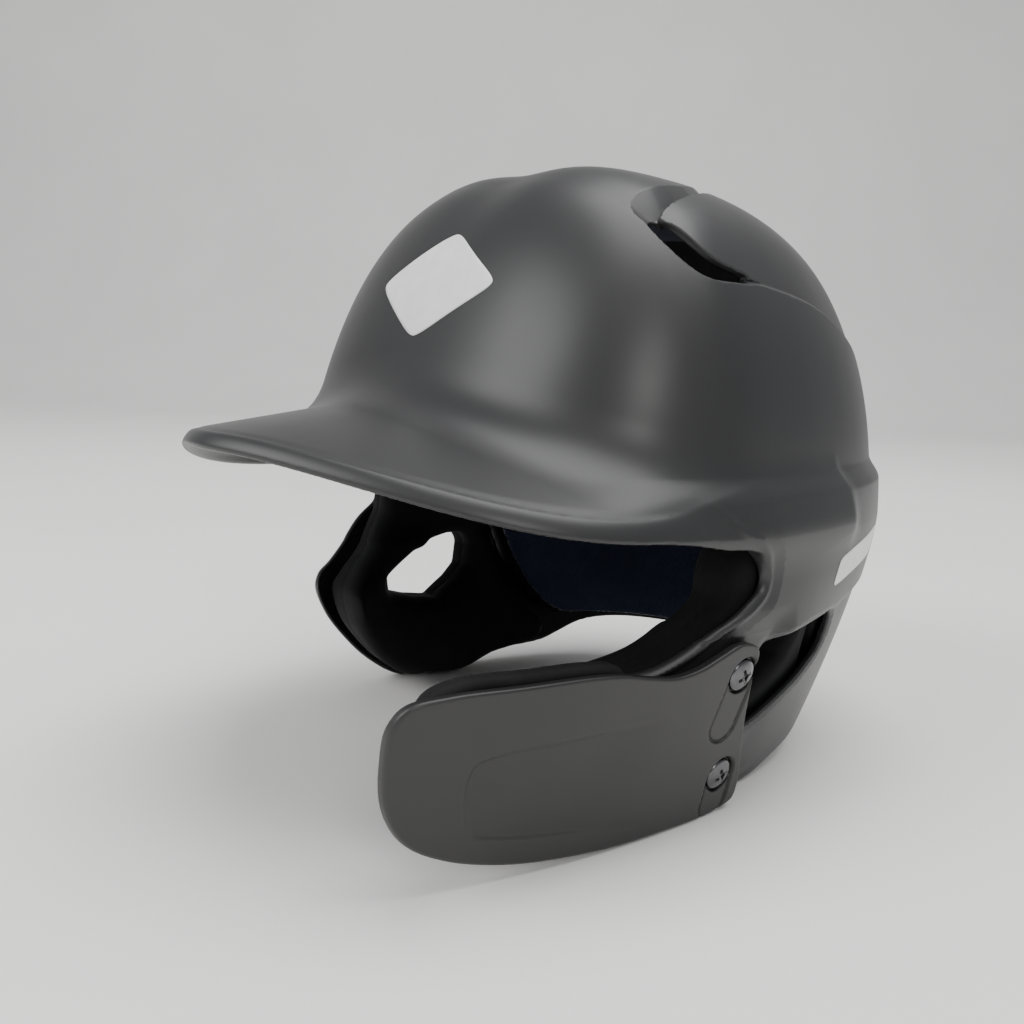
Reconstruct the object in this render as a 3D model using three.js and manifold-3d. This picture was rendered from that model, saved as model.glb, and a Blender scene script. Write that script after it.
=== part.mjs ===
// Batting helmet with an ear flap on each side and a jaw guard bolted to the wearer's left flap.
// Millimetres. +Z is up, the brim points along -Y and the wearer's left is +X. The helmet stands on
// its two ear flaps and the lower edge of the jaw guard, at z = 0.
import * as THREE from "three";
import { mergeVertices } from "three/addons/utils/BufferGeometryUtils.js";
import Module from "manifold-3d";

const wasm = await Module();
wasm.setup();

// ---------- driving dimensions ----------
const HALF_WIDTH = 98.9; // of the bare dome, at its widest level
const FRONT_REACH = 81.2; // from the dome's axis to the forehead, at the widest level
const REAR_REACH = 132.4; // from the dome's axis to the back of the head
const DOME_RISE = 141.5; // from the widest level to the crown
const WIDEST_Z = 60.8; // height of the widest level
const AXIS_Y = -0.8; // where the dome's vertical axis stands
const PLAN_POWER = 2.4; // superellipse power of the plan outline
const RISE_POWER = 2.82; // superellipse power of the dome's profile
const FOREHEAD_LEAN = 26.3; // how far the forehead leans back over the dome's rise
const SIDE_TAPER = { from: 60.8, share: 0.208, power: 1 }; // how the wall narrows towards z = 0
const REAR_TAPER = { from: 88, share: 0.21, power: 1.35 };
const SHELL_THICK = 3.2;

const BAND_PROUD = 3.2; // how far the lower band stands out from the dome
const BAND_TOP = 108;
const BAND_FADE = 8; // height over which the band's step rises
const SEAT_TOP = 59; // of the flat seat for a guard on the front of each flap
const SEAT_PROUD = 5.8; // how far the seat stands out at z = 0; it meets the bare wall at its top
const SEAT_FADE = 10; // distance over which the band runs into the seat
const LEDGE_INSET = 1.6; // how far the wall steps in below the ledge behind each ear hole
const LEDGE_FADE = 3;
const CAP_INSET = 1.2; // how far the rear cap lies below the front panel
const GROOVE_DEPTH = 3.6; // of the scoop in the crown that leads into each slot
const GROOVE_BOSS = 2; // thickening of the shell under that scoop
const VALLEY_DEPTH = 1.8; // shallow channel along the front of the crown
const VALLEY_WIDTH = 16;

const BRIM_HALF_WIDTH = 101.7;
const BRIM_ROOT_Y = -6.5; // where the brim's edge runs into the side of the shell
const BRIM_REACH = 126.7; // from that root to the brim's front edge
const BRIM_NOSE = 12; // rounding of the brim's front
const BRIM_PLAN_POWERS = [0.96, 0.26];
const BRIM_EDGE_Z = 115.6; // top of the brim at the middle of its front edge
const BRIM_DROP = 19.8; // how far the edge falls from there to the brim's sides
const BRIM_DROP_POWER = 1.43;
const BRIM_SLOPE = 0.135; // rise of the brim per millimetre back from its edge
const BRIM_THICK = 3.2;
const BRIM_FILLET = 9; // rise of the blend where the brim meets the forehead
const BRIM_FILLET_WIDTH = 17;
const LIP_DROP = 1.6; // how far the brim's turned-down lip hangs below its underside
const LIP_WIDTH = 5;

const LINER_THICK = 6;
const PAD_THICK = 4.5;
const EAR_PAD_THICK = 20;
const GLUE_GAP = 0.4; // between neighbours that are glued together
const LINER_GAP = 1.6; // between the shell and the padding, which is held on by small glue dots

const GUARD_THICK = 3.5;
const GUARD_CURL = 0.00148; // inward sweep of the guard, per square millimetre of its length
const GUARD_REAR_Y = -4; // where that sweep begins
const GUARD_FIELD_DEPTH = 0.9; // of the sunk field on the guard's outer face
const GUARD_PAD_THICK = 9;
const UPPER_SCREW = { y: -11, z: 48.6, drop: 15 }; // drop: length of the recess below the head
const LOWER_SCREW = { y: -8, z: 14.4, drop: 9 };
const RECESS_DEPTH = 0.6; // of the long recess that runs down from each screw head
const SCREW_HEAD_R = 5.2;
const SCREW_HEAD_H = 2.4;
const SCREW_SHANK_R = 2.2;
const SCREW_LENGTH = 9.5; // under the head
const NUT_BARREL_R = 3.1;
const NUT_BORE_R = 2.5;
const NUT_FLANGE_R = 7.5;
const NUT_FLANGE_H = 1.2;
const CLEARANCE = 0.35;

const DECAL_THICK = 0.4;

// ---------- outlines in the side view, as [y, z] ----------
// Front edge of the flap, from the brim down; then the flap's foot; then the edge back to the nape.
const FLAP_FRONT = [[-30, 97], [-22, 91.5], [-14, 87.5], [-8.5, 83], [-6, 78.5], [-6.8, 74.5], [-12.5, 70],
  [-21, 63.8], [-29.5, 57.2], [-37, 52.8], [-45, 49.8], [-48.8, 45], [-44.5, 34.5], [-33, 21], [-23, 11.5],
  [-11, 3], [-4, 0]];
const FLAP_REAR = [[20, 0], [28.5, 2], [37, 4.2], [46, 5.3], [57, 6], [66, 7.5], [74, 11], [83, 15.5],
  [93, 18], [120, 19.2], [150, 19.5]];
const EAR_HOLE = [[-4, 47], [-1, 51.5], [3, 54.8], [9, 57.2], [20, 59.3], [34, 60], [45, 59.3], [50, 54.5],
  [49.5, 45.5], [38, 38], [23, 32], [9, 26.5], [0, 26], [-4, 31], [-5, 39]];
const EAR_PAD_HOLE = [[-19, 43], [-17, 46], [-1, 54.5], [10, 58], [20, 60], [28, 60], [29, 55], [26, 46],
  [20, 41], [8.5, 34.5], [-3, 36], [-17, 40]];
const CROWN_SLOT = [[-20.9, 182], [-23.2, 179.5], [-23.4, 177.6], [-22.4, 173.8], [-21, 170.3], [-19, 167.2],
  [-16.2, 164.8], [-12.4, 163.6], [-5.5, 163.3], [4.5, 163.5], [5.2, 164.8], [-1.5, 166.9], [-8, 169.3],
  [-11.5, 172.9], [-13.8, 176.2], [-16.2, 179.3], [-18.3, 182.2]];
const CAP_SIDE = [[-19.8, 182.8], [-17.8, 178.6], [-15.3, 175], [-12.9, 171.8], [-9.2, 168.2], [-2.2, 165.8],
  [4, 164.1], [13, 162.7], [24, 161.2], [32, 160], [40, 158.4], [47.5, 156.4], [59, 152.3], [73.5, 147],
  [80, 143.8], [100, 134], [120, 123], [160, 105], [160, 230], [-60, 230]];
const GUARD_OUTLINE = [[-9.6, 58.6], [-5.8, 56], [-5, 47], [-3.5, 36], [0, 22], [3.5, 10], [3, 3], [-6, 0.6],
  [-30, 0.4], [-55, 1], [-84, 4.3], [-103, 10], [-114, 17], [-120.5, 28], [-122.8, 42], [-122.5, 51],
  [-119, 56.3], [-109, 58.2], [-90, 58.4], [-70, 58.3], [-60, 57.4], [-50, 55.2], [-40, 53.6], [-31, 54.6],
  [-23, 57.4], [-16, 59.6]];
const GUARD_FIELD = [[-99.5, 37.5], [-94, 39.4], [-72, 40.2], [-45, 41.5], [-25, 42], [-21, 30], [-24, 9],
  [-43, 7.6], [-64, 10.2], [-90, 14.3], [-97, 17], [-100.5, 27]];
const GUARD_PAD = [[-51, 15], [-60, 9.5], [-86, 12], [-103, 20], [-111, 32], [-113, 45], [-111, 56], [-104, 60],
  [-84, 60.4], [-66, 60], [-57, 58], [-51.5, 50]];
const EAR_PAD = [[2, 88], [-6, 86], [-10, 78], [-11, 71], [-17, 63.5], [-25, 56], [-35, 50], [-42, 45.5],
  [-41, 35], [-30, 21], [-20, 12], [-9, 5.5], [3, 4], [20, 4.5], [34, 8.5], [46, 10.5], [57, 13.5], [60, 19],
  [54, 28], [49, 37], [44.5, 48], [42.5, 60], [40, 73], [33, 82], [14, 88]];
const DIAMOND = [[0, 18], [16, 9.6], [30, 0], [16, -9.6], [0, -18], [-16, -9.6], [-30, 0], [-16, 9.6]];
const DIAMOND_Z = 161;
const SIDE_BAR = [[36, 69], [76, 75], [80, 85], [40, 79]];

// ---------- outlines in plan on the wearer's left, as [x, y] ----------
// The scoop between the front panel and the cap, and the cap itself.
const GROOVE = [[66, -25], [58, -24.6], [55.4, -23], [54.6, -19.7], [54.6, -13.6], [53.2, -4.6], [50.6, 3.5],
  [47.5, 11], [45.4, 17], [47.6, 16.5], [54.1, 8.4], [58.3, -3.4], [61.4, -14.6], [62.8, -18.7], [65, -21]];
const CAP_PLAN = [[90, -24], [64, -23], [61.3, -19.3], [59.8, -14.4], [56.8, -3.8], [52.6, 7.6], [43.6, 26.6],
  [34.6, 34.4], [21, 45], [-1, 49], [-1, 160], [90, 160]];

// ---------- the dome and wall ----------
const range = (count) => Array.from({ length: count }, (_, i) => i);
const mix = (a, b, t) => a + (b - a) * t;
const smooth = (t) => {
  const u = Math.min(1, Math.max(0, t));
  return u * u * (3 - 2 * u);
};
const signedPower = (v, p) => Math.sign(v) * Math.abs(v) ** p;

// Share of its full width that the wall keeps at a height, on the side and towards the rear.
const taperAt = ({ from, share, power }, z) => share * Math.max(0, (from - z) / from) ** power;
const wallScale = (y, z) => 1 - mix(taperAt(SIDE_TAPER, z), taperAt(REAR_TAPER, z), smooth((y - 10) / 50));
const reachAt = (along, rise) => (along < 0 ? FRONT_REACH - FOREHEAD_LEAN * rise : REAR_REACH);

// Zero on the bare dome and wall, negative inside.
function domeField(x, y, z) {
  const rise = Math.max(0, z - WIDEST_Z) / DOME_RISE;
  const along = y - AXIS_Y;
  const plan =
    (Math.abs(x) / HALF_WIDTH) ** PLAN_POWER + (Math.abs(along) / reachAt(along, rise)) ** PLAN_POWER;
  return (plan ** (1 / PLAN_POWER) / wallScale(y, z)) ** RISE_POWER + rise ** RISE_POWER - 1;
}

function domeNormal(p) {
  const h = 0.05;
  const slope = (dx, dy, dz) =>
    domeField(p.x + dx, p.y + dy, p.z + dz) - domeField(p.x - dx, p.y - dy, p.z - dz);
  return new THREE.Vector3(slope(h, 0, 0), slope(0, h, 0), slope(0, 0, h)).normalize();
}

// Height of the ledge that runs back from the top of each ear hole.
const ledgeZ = (y) => 57.5 + 6 * smooth((y - 4) / 90);

// How far the finished outer surface stands off the bare dome.
function surfaceOffset({ x, y, z }) {
  const onSeat = smooth((12 - y) / SEAT_FADE) * smooth((SEAT_TOP + SEAT_FADE - z) / SEAT_FADE);
  const seat = SEAT_PROUD * Math.max(0, 1 - z / SEAT_TOP);
  const band = mix(BAND_PROUD * smooth((BAND_TOP - z) / BAND_FADE), seat, onSeat);
  const behindEar = smooth((y + 2) / 8) * (1 - smooth((y - 85) / 25));
  const ledge = LEDGE_INSET * smooth((ledgeZ(y) - z) / LEDGE_FADE + 0.5) * behindEar;
  const onCrown = smooth((z - 165) / 30) * smooth((45 - y) / 30);
  const valley = VALLEY_DEPTH * Math.exp(-((x / VALLEY_WIDTH) ** 2)) * onCrown;
  return band - ledge - valley;
}

// A point of the bare dome or wall. around runs 0..2 pi from the wearer's left through the back;
// height is -1 at the foot of the wall, 0 at the widest level and 1 at the crown.
function domePoint(around, height) {
  const angle = (Math.max(0, height) * Math.PI) / 2;
  const level = Math.cos(angle) ** (2 / RISE_POWER);
  const rise = Math.sin(angle) ** (2 / RISE_POWER);
  const z = WIDEST_Z + DOME_RISE * rise + Math.min(0, height) * (WIDEST_Z + 12);
  const side = signedPower(Math.cos(around), 2 / PLAN_POWER);
  const along = signedPower(Math.sin(around), 2 / PLAN_POWER);
  const reach = AXIS_Y + reachAt(along, rise) * along * level;
  let y = reach;
  for (let i = 0; i < 4; i++) y = AXIS_Y + (reach - AXIS_Y) * wallScale(y, z);
  return new THREE.Vector3(HALF_WIDTH * side * level * wallScale(y, z), y, z);
}

// The same point on the finished surface, moved inwards by depth.
function skinPoint(around, height, depth) {
  const p = domePoint(around, height);
  return p.addScaledVector(domeNormal(p), surfaceOffset(p) - depth);
}

// Half-width of the finished wall at a point of the side view.
function wallX(y, z) {
  let low = 0;
  let high = HALF_WIDTH * 1.2;
  for (let i = 0; i < 30; i++) {
    const middle = (low + high) / 2;
    if (domeField(middle, y, z) < 0) low = middle;
    else high = middle;
  }
  return low + surfaceOffset({ x: low, y, z });
}

// ---------- meshes and booleans ----------
function indexedGeometry(points, index) {
  const geometry = new THREE.BufferGeometry().setFromPoints(points);
  geometry.setIndex(index);
  return geometry;
}

// A closed solid from stacked loops of points, with a fan across each end.
function loftGeometry(rows) {
  const count = rows[0].length;
  const points = rows.flat();
  const index = [];
  for (const r of range(rows.length - 1))
    for (const i of range(count)) {
      const j = (i + 1) % count;
      const [a, b, c, d] = [r * count + i, r * count + j, (r + 1) * count + j, (r + 1) * count + i];
      index.push(a, b, c, a, c, d);
    }
  const fan = (row) => {
    const total = rows[row].reduce((sum, p) => sum.add(p), new THREE.Vector3());
    const middle = points.push(total.divideScalar(count)) - 1;
    for (const i of range(count)) {
      const pair = [row * count + i, row * count + ((i + 1) % count)];
      index.push(middle, ...(row === 0 ? pair.reverse() : pair));
    }
  };
  fan(0);
  fan(rows.length - 1);
  return indexedGeometry(points, index);
}

// A slab between two grids of points of the same shape, closed round its edge.
function slabGeometry(outer, inner) {
  const [rows, columns] = [outer.length, outer[0].length];
  const half = rows * columns;
  const index = [];
  const quad = (a, b, c, d) => index.push(a, b, c, a, c, d);
  for (const r of range(rows - 1))
    for (const c of range(columns - 1)) {
      const [a, b] = [r * columns + c, r * columns + c + 1];
      const [d, e] = [a + columns, b + columns];
      quad(a, b, e, d);
      quad(half + a, half + d, half + e, half + b);
    }
  const rim = (a, b) => quad(b, a, half + a, half + b);
  for (const c of range(columns - 1)) {
    rim(c, c + 1);
    rim((rows - 1) * columns + c + 1, (rows - 1) * columns + c);
  }
  for (const r of range(rows - 1)) {
    rim((r + 1) * columns, r * columns);
    rim(r * columns + columns - 1, (r + 1) * columns + columns - 1);
  }
  return indexedGeometry([...outer.flat(), ...inner.flat()], index);
}

function solidOf(geometry) {
  const bare = geometry.index ? geometry.toNonIndexed() : geometry.clone();
  const only = new THREE.BufferGeometry().setAttribute("position", bare.getAttribute("position"));
  const merged = mergeVertices(only, 1e-4);
  const vertProperties = merged.attributes.position.array;
  const triVerts = new Uint32Array(merged.index.array);
  const make = () => new wasm.Manifold(new wasm.Mesh({ numProp: 3, vertProperties, triVerts }));
  const made = make();
  if (made.volume() > 0) return made;
  for (let i = 0; i < triVerts.length; i += 3)
    [triVerts[i + 1], triVerts[i + 2]] = [triVerts[i + 2], triVerts[i + 1]];
  return make();
}

function geometryOf(solid) {
  const { vertProperties, triVerts, numProp, numVert } = solid.getMesh();
  const positions = new Float32Array(numVert * 3);
  for (const i of range(numVert))
    positions.set(vertProperties.subarray(i * numProp, i * numProp + 3), i * 3);
  const geometry = new THREE.BufferGeometry();
  geometry.setAttribute("position", new THREE.BufferAttribute(positions, 3));
  geometry.setIndex(new THREE.BufferAttribute(new Uint32Array(triVerts), 1));
  return geometry;
}

// An outline with its corners rounded, as a closed spline through its points.
function rounded(outline, steps) {
  const knots = outline.map(([y, z]) => new THREE.Vector3(0, y, z));
  const curve = new THREE.CatmullRomCurve3(knots, true, "centripetal");
  return curve.getPoints(steps).slice(0, -1).map((p) => [p.y, p.z]);
}

// A side-view outline in (y, z) as a prism along X.
function sidePrism(outline, fromX = -150, toX = 150) {
  const shape = new THREE.Shape(outline.map(([y, z]) => new THREE.Vector2(y, z)));
  const geometry = new THREE.ExtrudeGeometry(shape, { depth: toX - fromX, bevelEnabled: false });
  const alongX = new THREE.Matrix4().makeBasis(
    new THREE.Vector3(0, 1, 0), new THREE.Vector3(0, 0, 1), new THREE.Vector3(1, 0, 0));
  return solidOf(geometry.applyMatrix4(alongX).translate(fromX, 0, 0));
}

// A plan outline in (x, y) on the wearer's left as a prism along Z; side -1 gives its mirror image.
function planPrism(outline, side) {
  const shape = new THREE.Shape(outline.map(([x, y]) => new THREE.Vector2(x * side, y)));
  return solidOf(new THREE.ExtrudeGeometry(shape, { depth: 130, bevelEnabled: false }).translate(0, 0, 90));
}

// ---------- shell ----------
const AROUND = 56;
const HEIGHTS = [-1, -0.7, -0.35, -0.04, 0.003, 0.02, 0.12, 0.17, 0.25, 0.34, 0.42, 0.5, 0.59, 0.69, 0.8, 0.92];
const PADDING_AROUND = AROUND / 2; // every padding vertex lines up with one of the shell's

function bowl(depth, around = AROUND) {
  const loop = (height) => range(around).map((i) => skinPoint((i / around) * 2 * Math.PI, height, depth));
  return solidOf(loftGeometry(HEIGHTS.map(loop)));
}

// How far out a place is between the brim's middle and its side, with the nose rounded.
const brimShare = (x) =>
  (Math.hypot(x, BRIM_NOSE) - BRIM_NOSE) / (Math.hypot(BRIM_HALF_WIDTH, BRIM_NOSE) - BRIM_NOSE);
const brimEdgeY = (x) =>
  BRIM_ROOT_Y - BRIM_REACH * (1 - brimShare(x) ** BRIM_PLAN_POWERS[0]) ** BRIM_PLAN_POWERS[1];
const brimEdgeZ = (x) => BRIM_EDGE_Z - BRIM_DROP * brimShare(x) ** BRIM_DROP_POWER;
const brimTopZ = (x, y) => brimEdgeZ(x) + BRIM_SLOPE * (y - brimEdgeY(x));

// Where the front of the dome stands, at the height of the brim.
function foreheadY(x, z) {
  const rise = Math.max(0, z - WIDEST_Z) / DOME_RISE;
  const level = (1 - rise ** RISE_POWER) ** (1 / RISE_POWER);
  const share = Math.max(0, level ** PLAN_POWER - (Math.abs(x) / (HALF_WIDTH + 2)) ** PLAN_POWER);
  return AXIS_Y - (reachAt(-1, rise) + 1) * share ** (1 / PLAN_POWER);
}

function brim() {
  const columns = range(41).map((i) => {
    const t = mix(-1, 1, i / 40);
    return signedPower(Math.sin((t * Math.PI) / 2), 1.25) * (BRIM_HALF_WIDTH - 1.2);
  });
  const place = (x, share) => {
    const innerY = mix(-46, -6, (Math.abs(x) / BRIM_HALF_WIDTH) ** 3);
    const edgeY = brimEdgeY(x);
    const wallY = Math.min(innerY, foreheadY(x, brimEdgeZ(x) + BRIM_FILLET + 6) + 1);
    const rootY = Math.max(edgeY, wallY - BRIM_FILLET_WIDTH);
    const lipY = Math.min(edgeY + LIP_WIDTH, mix(edgeY, rootY, 0.5));
    const stops = [
      innerY, wallY, mix(wallY, rootY, 0.25), mix(wallY, rootY, 0.55), rootY, mix(rootY, lipY, 0.5), lipY];
    const y = share < stops.length ? Math.max(edgeY, stops[share]) : edgeY;
    const blend = BRIM_FILLET * Math.max(0, 1 - Math.max(0, wallY - y) / BRIM_FILLET_WIDTH) ** 2;
    return { y, z: brimTopZ(x, y), blend, edge: share === stops.length };
  };
  const shares = range(8);
  const top = shares.map((share) =>
    columns.map((x) => {
      const { y, z, blend } = place(x, share);
      return new THREE.Vector3(x, y, z + blend);
    }));
  const under = shares.map((share) =>
    columns.map((x) => {
      const { y, z, edge } = place(x, share);
      return new THREE.Vector3(x, y, z - BRIM_THICK - (edge ? LIP_DROP : 0));
    }));
  return solidOf(slabGeometry(top, under));
}

// The space that the face looks through, below the brim and in front of the flaps.
function faceOpening() {
  const side = sidePrism([...FLAP_FRONT, [-4, -40], [-220, -40], [-220, 160], [-30, 160]]);
  const arch = new THREE.Shape([new THREE.Vector2(150, -60), new THREE.Vector2(-150, -60)]);
  for (const i of range(41)) {
    const x = mix(-150, 150, i / 40);
    const at = Math.min(Math.abs(x), BRIM_HALF_WIDTH - 0.5);
    const top = brimTopZ(at, foreheadY(at, brimEdgeZ(at) + 6)) - BRIM_THICK / 2;
    arch.lineTo(x, top);
  }
  const geometry = new THREE.ExtrudeGeometry(arch, { depth: 260, bevelEnabled: false });
  return side.intersect(solidOf(geometry.rotateX(Math.PI / 2).translate(0, 60, 0)));
}

// ---------- fasteners ----------
const GUARD_SIDE = 1; // the guard is on the wearer's left

const guardX = (y, z, depth) =>
  wallX(GUARD_REAR_Y, z) + GLUE_GAP + GUARD_THICK - GUARD_CURL * Math.min(0, y - GUARD_REAR_Y) ** 2 - depth;

// The frame of a screw: a point on the guard's outer face and the direction out of it.
function screwFrame({ y, z }) {
  const h = 1;
  const slopeY = (guardX(y + h, z, 0) - guardX(y - h, z, 0)) / (2 * h);
  const slopeZ = (guardX(y, z + h, 0) - guardX(y, z - h, 0)) / (2 * h);
  return {
    origin: new THREE.Vector3(guardX(y, z, 0), y, z),
    out: new THREE.Vector3(1, -slopeY, -slopeZ).normalize(),
  };
}

// A turned solid on a screw's axis, from its profile of [radius, distance out of the guard's face].
function turnedOn(screw, profile, segments = 24) {
  const { origin, out } = screwFrame(screw);
  const points = profile.map(([radius, height]) => new THREE.Vector2(radius, height));
  const turn = new THREE.Quaternion().setFromUnitVectors(new THREE.Vector3(0, 1, 0), out);
  const geometry = new THREE.LatheGeometry(points, segments).applyQuaternion(turn);
  return solidOf(geometry.translate(origin.x, origin.y, origin.z));
}
const rod = (screw, radius, from, to) =>
  turnedOn(screw, [[0, from], [radius, from], [radius, to], [0, to]]);

// Depths below the guard's outer face, on a screw's axis.
const HEAD_SEAT = -1.6;
const FLAP_INSIDE = -(GUARD_THICK + GLUE_GAP + SHELL_THICK);

function guardScrew(screw) {
  const top = HEAD_SEAT + SCREW_HEAD_H;
  const body = turnedOn(screw, [
    [0, HEAD_SEAT - SCREW_LENGTH], [SCREW_SHANK_R - 0.5, HEAD_SEAT - SCREW_LENGTH],
    [SCREW_SHANK_R, HEAD_SEAT - SCREW_LENGTH + 0.6], [SCREW_SHANK_R, HEAD_SEAT],
    [SCREW_HEAD_R, HEAD_SEAT], [SCREW_HEAD_R, HEAD_SEAT + 0.8], [SCREW_HEAD_R * 0.8, top - 0.5],
    [SCREW_HEAD_R * 0.45, top], [0, top],
  ]);
  const { origin, out } = screwFrame(screw);
  const turn = new THREE.Quaternion().setFromUnitVectors(new THREE.Vector3(0, 1, 0), out);
  const blade = (turns) => {
    const geometry = new THREE.BoxGeometry(4.6, 3, 1.1).translate(0, top, 0).rotateY(turns);
    return solidOf(geometry.applyQuaternion(turn).translate(origin.x, origin.y, origin.z));
  };
  return body.subtract(blade(0.4)).subtract(blade(0.4 + Math.PI / 2));
}

function guardNut(screw) {
  const barrelTop = -(GUARD_THICK + GLUE_GAP + 0.4);
  const flangeTop = FLAP_INSIDE - GLUE_GAP;
  return turnedOn(screw, [
    [NUT_BORE_R, flangeTop - NUT_FLANGE_H - 1.2], [NUT_BARREL_R + 0.6, flangeTop - NUT_FLANGE_H - 1.2],
    [NUT_BARREL_R + 0.6, flangeTop - NUT_FLANGE_H], [NUT_FLANGE_R, flangeTop - NUT_FLANGE_H],
    [NUT_FLANGE_R, flangeTop], [NUT_BARREL_R, flangeTop], [NUT_BARREL_R, barrelTop],
    [NUT_BORE_R, barrelTop], [NUT_BORE_R, flangeTop - NUT_FLANGE_H - 1.2],
  ]);
}

// ---------- assembly ----------
const outside = bowl(0);
const inside = bowl(SHELL_THICK);

function shellSolid() {
  const below = sidePrism([[-60, -80], [-60, -0.001], [-4, 0], ...FLAP_REAR, [200, 56], [200, -80]]);
  const ears = sidePrism(rounded(EAR_HOLE, 22));
  const slots = sidePrism(rounded(CROWN_SLOT, 18));
  let solid = outside.subtract(faceOpening()).add(brim()).subtract(inside);
  for (const side of [1, -1]) {
    const boss = planPrism([[40, -28], [70, -28], [70, 30], [40, 30]], side);
    solid = solid.add(layer(SHELL_THICK - 1, SHELL_THICK + GROOVE_BOSS, AROUND).intersect(boss));
    solid = solid.subtract(layer(-3, GROOVE_DEPTH, AROUND).intersect(planPrism(rounded(GROOVE, 45), side)));
    const cap = planPrism(CAP_PLAN, side).intersect(sidePrism(CAP_SIDE));
    solid = solid.subtract(layer(-3, CAP_INSET, AROUND).intersect(cap));
  }
  solid = solid.subtract(below).subtract(ears).subtract(slots);
  for (const screw of [UPPER_SCREW, LOWER_SCREW]) {
    const bore = rod(screw, NUT_BARREL_R + CLEARANCE, -20, 0);
    const flangeSeat = rod(screw, NUT_FLANGE_R + CLEARANCE, -20, FLAP_INSIDE);
    solid = solid.subtract(bore).subtract(flangeSeat);
  }
  return solid.decompose().sort((a, b) => b.volume() - a.volume())[0];
}

// Everything between two depths below the shell's outer face; a negative depth is outside it.
const layer = (from, to, around = PADDING_AROUND) => bowl(from, around).subtract(bowl(to, around));

function earPad(side) {
  const [from, to] = side > 0 ? [10, 150] : [-150, -10];
  const ring = sidePrism(rounded(EAR_PAD, 26), from, to).subtract(sidePrism(rounded(EAR_PAD_HOLE, 24)));
  const top = SHELL_THICK + LINER_GAP;
  let solid = layer(top, top + EAR_PAD_THICK).intersect(ring);
  if (side !== GUARD_SIDE) return solid;
  for (const screw of [UPPER_SCREW, LOWER_SCREW])
    solid = solid.subtract(rod(screw, NUT_FLANGE_R + 1, FLAP_INSIDE - 5, 0));
  return solid;
}

function guardSlab(from, to) {
  const rows = range(12).map((i) => mix(-6, 66, i / 11));
  const columns = range(24).map((i) => mix(-128, 8, i / 23));
  const grid = (depth) => rows.map((z) => columns.map((y) => new THREE.Vector3(guardX(y, z, depth), y, z)));
  return solidOf(slabGeometry(grid(from), grid(to)));
}

function jawGuard() {
  let solid = guardSlab(0, GUARD_THICK).intersect(sidePrism(rounded(GUARD_OUTLINE, 60)));
  const field = sidePrism(rounded(GUARD_FIELD, 30));
  solid = solid.subtract(guardSlab(-2, GUARD_FIELD_DEPTH).intersect(field));
  for (const screw of [UPPER_SCREW, LOWER_SCREW]) {
    const { y, z, drop } = screw;
    const r = SCREW_HEAD_R + 0.9;
    const top = range(9).map((i) => [y - r * Math.cos((i * Math.PI) / 8), z + r * Math.sin((i * Math.PI) / 8)]);
    const foot = top.map(([py, pz]) => [2 * y - py, 2 * z - drop - pz]);
    const open = guardSlab(-3, RECESS_DEPTH).intersect(sidePrism([...top, ...foot]));
    const seat = rod(screw, r, HEAD_SEAT - CLEARANCE, 8);
    solid = solid.subtract(open).subtract(seat).subtract(rod(screw, SCREW_SHANK_R + CLEARANCE, -20, 8));
  }
  return solid;
}

const group = new THREE.Group();
function addNode(name, solid, color, roughness, metalness = 0) {
  const material = new THREE.MeshStandardMaterial({ color, roughness, metalness });
  const mesh = new THREE.Mesh(geometryOf(solid), material);
  mesh.name = name;
  group.add(mesh);
}

const NAVY = 0x1d2740;
const BLACK_FOAM = 0x1b1c1e;

addNode("shell", shellSolid(), 0x47484a, 0.55);
addNode("jaw_guard", jawGuard(), 0x3a3b3d, 0.4);
addNode("jaw_guard_pad",
  guardSlab(GUARD_THICK + GLUE_GAP, GUARD_THICK + GLUE_GAP + GUARD_PAD_THICK)
    .intersect(sidePrism(rounded(GUARD_PAD, 40))), BLACK_FOAM, 0.9);
for (const [place, screw] of [["upper", UPPER_SCREW], ["lower", LOWER_SCREW]]) {
  addNode(`guard_screw_${place}`, guardScrew(screw), 0x4a4a4c, 0.3, 1);
  addNode(`guard_nut_${place}`, guardNut(screw), 0x8d8f92, 0.35, 1);
}

// Padding: where each piece lies in the side view, and its range across the helmet.
const FRONT_LINER = [[-90, 128], [-30, 128], [-30, 172], [-90, 172]];
const FRONT_PAD = [[-90, 132], [-30, 132], [-30, 164], [-90, 164]];
const SIDE_LINER = [[-26, 108], [2, 90], [70, 90], [70, 146], [12, 152], [-18, 146]];
const SIDE_PAD = [[-14, 110], [6, 95], [64, 95], [64, 136], [10, 142], [-12, 136]];
const REAR_LINER = [[69, 20.5], [62.5, 25], [57, 33], [51, 47], [48, 60], [45.5, 74], [47, 84], [76, 84],
  [76, 140], [150, 140], [150, 22]];
const REAR_PAD = [[70, 21.5], [64, 26], [58.5, 34], [52.5, 48], [49.5, 60], [47.5, 74], [50, 80], [82, 80],
  [82, 104], [150, 108], [150, 24]];
const CROWN_LINER = [[-22, 170], [62, 170], [62, 220], [-22, 220]];
const CROWN_PAD = [[-14, 170], [52, 170], [52, 220], [-14, 220]];
const linerTop = SHELL_THICK + LINER_GAP;
const linerLayer = layer(linerTop, linerTop + LINER_THICK);
const padTop = linerTop + LINER_THICK + GLUE_GAP;
const padLayer = layer(padTop, padTop + PAD_THICK);
const paddings = {
  front: [sidePrism(FRONT_LINER, -60, 60), sidePrism(FRONT_PAD, -48, 48)],
  left: [sidePrism(SIDE_LINER, 40, 120), sidePrism(SIDE_PAD, 40, 120)],
  right: [sidePrism(SIDE_LINER, -120, -40), sidePrism(SIDE_PAD, -120, -40)],
  rear: [sidePrism(REAR_LINER), sidePrism(REAR_PAD)],
  crown: [sidePrism(CROWN_LINER, -38, 38), sidePrism(CROWN_PAD, -28, 28)],
};
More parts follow.
